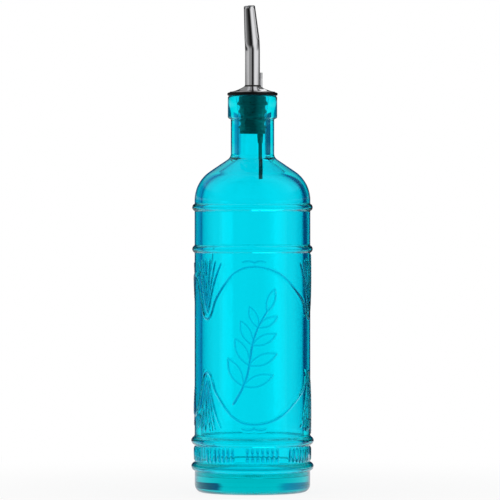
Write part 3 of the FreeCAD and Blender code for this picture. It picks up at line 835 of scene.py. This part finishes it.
class BOTTLE_OT_stage(bpy.types.Operator):
    """Make the pale floor, the studio light and the camera of the photograph"""
    bl_idname = "bottle.stage"
    bl_label = "Stage"

    def execute(self, context):
        finish = context.scene.oil_bottle.finish
        scene = context.scene
        scene.view_settings.view_transform = "Standard"
        # light that is shut in the thick rings of the glass finds its way out only after many turns
        scene.cycles.max_bounces = 32
        scene.cycles.glossy_bounces = 32
        scene.cycles.transmission_bounces = 32
        self.floor(finish)
        self.world(scene)
        self.lamps(scene)
        self.camera(scene)
        return {"FINISHED"}

    def floor(self, finish):
        """A round floor that is plain white far out and keeps the shadow near the bottle."""
        drop = -0.05
        rings = turned(np.array([(60.0, drop), (180.0, drop), (400.0, drop)]), around(64))
        material, tree, place = new_material("pale_studio_floor")
        far = add(tree, "ShaderNodeVectorMath", {0: place}, operation="LENGTH")
        fade = add(tree, "ShaderNodeMapRange", {
            "Value": far, "From Min": 0.08, "From Max": 0.36}, interpolation_type="SMOOTHSTEP")
        path = add(tree, "ShaderNodeLightPath")
        seen = path.outputs["Is Camera Ray"]
        for ray in ("Is Glossy Ray", "Is Transmission Ray"):
            seen = add(tree, "ShaderNodeMath", {0: seen, 1: path.outputs[ray]},
                       operation="ADD", use_clamp=True)
        veil = add(tree, "ShaderNodeMapRange", {"Value": fade, "To Min": 0.87})
        share = add(tree, "ShaderNodeMath", {0: seen, 1: veil}, operation="MULTIPLY")
        paint = add(tree, "ShaderNodeBsdfDiffuse", {"Color": finish.floor})
        white = add(tree, "ShaderNodeEmission", {"Color": (1, 1, 1, 1)})
        mix = add(tree, "ShaderNodeMixShader", {0: share, 1: paint, 2: white})
        add(tree, "ShaderNodeOutputMaterial", {"Surface": mix})
        floor = skin("studio_floor", [np.array([[0, 0, drop]]), *rings], material)

    def world(self, scene):
        """White for the eye. Gloss mirrors the walls of a light tent, and glass shows what is behind it.

        Directions are told by their bearing, from the front towards +X, and by their level over the horizon.
        """
        world = bpy.data.worlds.new("light_tent")
        world.use_nodes = True
        tree = world.node_tree
        tree.nodes.clear()
        parts = add(tree, "ShaderNodeSeparateXYZ", {0: add(tree, "ShaderNodeTexCoord").outputs["Generated"]})
        ahead = add(tree, "ShaderNodeMath", {0: parts.outputs["Y"], 1: -1.0}, operation="MULTIPLY")
        bearing = add(tree, "ShaderNodeMath", {0: parts.outputs["X"], 1: ahead}, operation="ARCTAN2")
        level = add(tree, "ShaderNodeMath", {0: parts.outputs["Z"]}, operation="ARCSINE")
        turn = add(tree, "ShaderNodeMapRange", {"Value": bearing, "From Min": -math.pi, "From Max": math.pi})
        rise = add(tree, "ShaderNodeMapRange", {
            "Value": level, "From Min": -math.pi / 2, "From Max": math.pi / 2})
        path = add(tree, "ShaderNodeLightPath")
        mix = add(tree, "ShaderNodeBackground", {"Color": (0.72, 0.72, 0.72, 1)})
        for ray, shown in (
                ("Is Glossy Ray", self.tent_walls(tree, bearing, level, turn, rise)),
                ("Is Transmission Ray", self.behind_glass(tree, level, turn, rise)),
                ("Is Camera Ray", (1, 1, 1, 1))):
            seen = add(tree, "ShaderNodeBackground", {"Color": shown})
            mix = add(tree, "ShaderNodeMixShader", {0: path.outputs[ray], 1: mix, 2: seen})
        add(tree, "ShaderNodeOutputWorld", {"Surface": mix})
        scene.world = world

    def tent_walls(self, tree, bearing, level, turn, rise):
        """What gloss mirrors: grey walls with a dark slot at the camera and white to its right."""
        walls = self.ramp(tree, turn, 180, [
            (-180, "#909090"), (-136, "#909090"), (-126, "#C8C8C8"), (-97, "#CCCCCC"), (-75, "#E4E4E4"),
            (-57, "#C4C4C4"), (-40, "#888888"), (-25, "#A8A8A8"), (-9, "#6C6C6C"), (-3, "#060606"),
            (12, "#060606"), (21, "#949494"), (34, "#F6F6F6"), (92, "#FFFFFF"), (106, "#BCBCBC"),
            (122, "#949494"), (130, "#585858"), (160, "#585858"), (180, "#909090")])
        lower = self.ramp(tree, turn, 180, [
            (-180, "#909090"), (-122, "#AEAEAE"), (-88, "#8F8F8F"), (-64, "#626262"), (-40, "#2F2F2F"),
            (-20, "#131313"), (-6, "#202020"), (0, "#464646"), (8, "#808080"), (20, "#EFEFEF"),
            (30, "#FFFFFF"), (48, "#FFFFFF"), (64, "#ECECEC"), (88, "#989898"), (122, "#6E6E6E"),
            (180, "#505050")])
        sunk = add(tree, "ShaderNodeMapRange", {
            "Value": level, "From Min": math.radians(-2), "From Max": math.radians(-9)})
        sides = add(tree, "ShaderNodeMix", {"Factor": sunk, 6: walls, 7: lower}, data_type="RGBA")
        # far round to either side the walls are dim at the height of the glass, and again over the steel
        low_wall = self.ramp(tree, rise, 90, [
            (-90, "#000000"), (-3.2, "#000000"), (-2.9, "#FFFFFF"), (1.3, "#FFFFFF"), (1.5, "#000000"),
            (3.0, "#000000"), (4.0, "#FFFFFF"), (18, "#FFFFFF"), (22, "#000000"), (90, "#000000")])
        aside = add(tree, "ShaderNodeMath", {0: bearing}, operation="ABSOLUTE")
        aside = add(tree, "ShaderNodeMapRange", {
            "Value": aside, "From Min": math.radians(55), "From Max": math.radians(105), "To Max": 0.95})
        dim = add(tree, "ShaderNodeMath", {0: low_wall, 1: aside}, operation="MULTIPLY")
        lit = add(tree, "ShaderNodeMath", {0: 1.0, 1: dim}, operation="SUBTRACT")
        return add(tree, "ShaderNodeVectorMath", {0: sides, "Scale": lit}, operation="SCALE")

    def behind_glass(self, tree, level, turn, rise):
        """What shows through the glass: white straight behind, and blue-grey further round to either side."""
        through = self.ramp(tree, turn, 180, [
            (-180, "#FFFFFF"), (-163, "#FFFFFF"), (-155, "#BCBCDC"), (-147, "#A8A8D0"), (-112, "#7C7CA0"),
            (-100, "#E6E6E6"), (100, "#E6E6E6"), (112, "#606080"), (140, "#505078"), (152, "#4C4C88"),
            (158, "#FFFFFF"), (180, "#FFFFFF")])
        heights = self.ramp(tree, rise, 90, [
            (-90, "#E8E8E8"), (-14, "#FFFFFF"), (12, "#FFFFFF"), (15, "#F8F8F8"), (90, "#E0E0E0")])
        # the darker sides end a little below the horizon, where the white floor begins
        above = add(tree, "ShaderNodeMapRange", {
            "Value": level, "From Min": math.radians(-7), "From Max": math.radians(-5)})
        behind = add(tree, "ShaderNodeMix", {"Factor": above, 6: (1, 1, 1, 1), 7: through}, data_type="RGBA")
        return add(tree, "ShaderNodeVectorMath", {0: behind, 1: heights}, operation="MULTIPLY")

    def ramp(self, tree, value, span, colours):
        """A ramp of colours at angles in degrees, over a span of as many degrees either way."""
        node = add(tree, "ShaderNodeValToRGB", {0: value})
        elements = node.color_ramp.elements
        while len(elements) < len(colours):
            elements.new(0.5)
        for element, (turn, hex_colour) in zip(elements, colours):
            element.position = (turn + span) / (2 * span)
            element.color = linear(hex_colour)
        return node

    def lamps(self, scene):
        """Two wide boxes, front left and right, draw the long highlights on the glass and light it alone.

        A card high up behind the bottle is seen in the steel cone.
        """
        lit = bpy.data.collections.new("lit_by_boxes")
        lit.objects.link(scene.objects["glass_bottle_moulded"])
        away, up = 3.0, 0.015
        for name, turn in (("strip_left", math.radians(-55)), ("strip_right", math.radians(58))):
            place = (away * math.sin(turn), -away * math.cos(turn), up)
            box = self.flat_lamp(scene, name, (1.5, 0.46), 1.8, place, (math.radians(90), 0, turn))
            box.light_linking.receiver_collection = lit
        self.flat_lamp(scene, "cone_card", (0.17, 0.6), 0.3, (0.085, 1.03, 0.85), (math.radians(-60), 0, 0))

    def flat_lamp(self, scene, name, size, power, place, turn):
        """A flat lamp, with its width, height and place in metres and its power in watts."""
        light = bpy.data.lights.new(name, "AREA")
        light.shape = "RECTANGLE"
        light.size, light.size_y = size
        light.energy = power
        lamp = bpy.data.objects.new(name, light)
        lamp.location = place
        lamp.rotation_euler = turn
        scene.collection.objects.link(lamp)
        return lamp

    def camera(self, scene):
        """A long lens 2.6 m in front of the bottle, a little above its middle.

        A pixel of the picture, which is 500 pixels wide, shows 0.605 mm at the bottle's axis.
        """
        away, aside, eye, aim = 2600.0, -1.5, 176.7, 146.4
        pixel, picture, sensor = 0.605, 500, 36.0
        camera = bpy.data.cameras.new("photo_camera")
        camera.sensor_width = sensor
        camera.lens = away / pixel * sensor / picture
        camera.clip_start = 0.05
        view = bpy.data.objects.new("photo_camera", camera)
        view.location = (aside * MM, -away * MM, eye * MM)
        drop = math.atan2(eye - aim, away)
        view.rotation_euler = (math.pi / 2 - drop, 0, 0)
        scene.collection.objects.link(view)
        scene.camera = view


class BOTTLE_PT_panel(bpy.types.Panel):
    """Sizes and finishes of the oil bottle, and what makes its pieces"""
    bl_idname = "BOTTLE_PT_panel"
    bl_label = "Oil Bottle"
    bl_space_type = "VIEW_3D"
    bl_region_type = "UI"
    bl_category = "Oil Bottle"

    def draw(self, context):
        settings = context.scene.oil_bottle
        for group in (settings.glass, settings.pourer, settings.finish):
            box = self.layout.box()
            for key in group.__annotations__:
                box.prop(group, key)
        for maker in MAKERS:
            self.layout.operator(maker.bl_idname)


MAKERS = (BOTTLE_OT_glass, BOTTLE_OT_collar, BOTTLE_OT_stopper, BOTTLE_OT_steel_set, BOTTLE_OT_stage)
CLASSES = (GlassSizes, PourerSizes, Finishes, OilBottle, *MAKERS, BOTTLE_PT_panel)


def register():
    """Make the classes known and put the settings on the scene."""
    for cls in CLASSES:
        bpy.utils.register_class(cls)
    bpy.types.Scene.oil_bottle = PointerProperty(type=OilBottle)


def unregister():
    """Take the settings off the scene and the classes out again."""
    del bpy.types.Scene.oil_bottle
    for cls in reversed(CLASSES):
        bpy.utils.unregister_class(cls)


def main():
    """Make every piece and the stage."""
    register()
    bpy.ops.bottle.glass()
    bpy.ops.bottle.collar()
    bpy.ops.bottle.stopper()
    bpy.ops.bottle.steel_set()
    bpy.ops.bottle.stage()


if __name__ == "__main__":
    main()
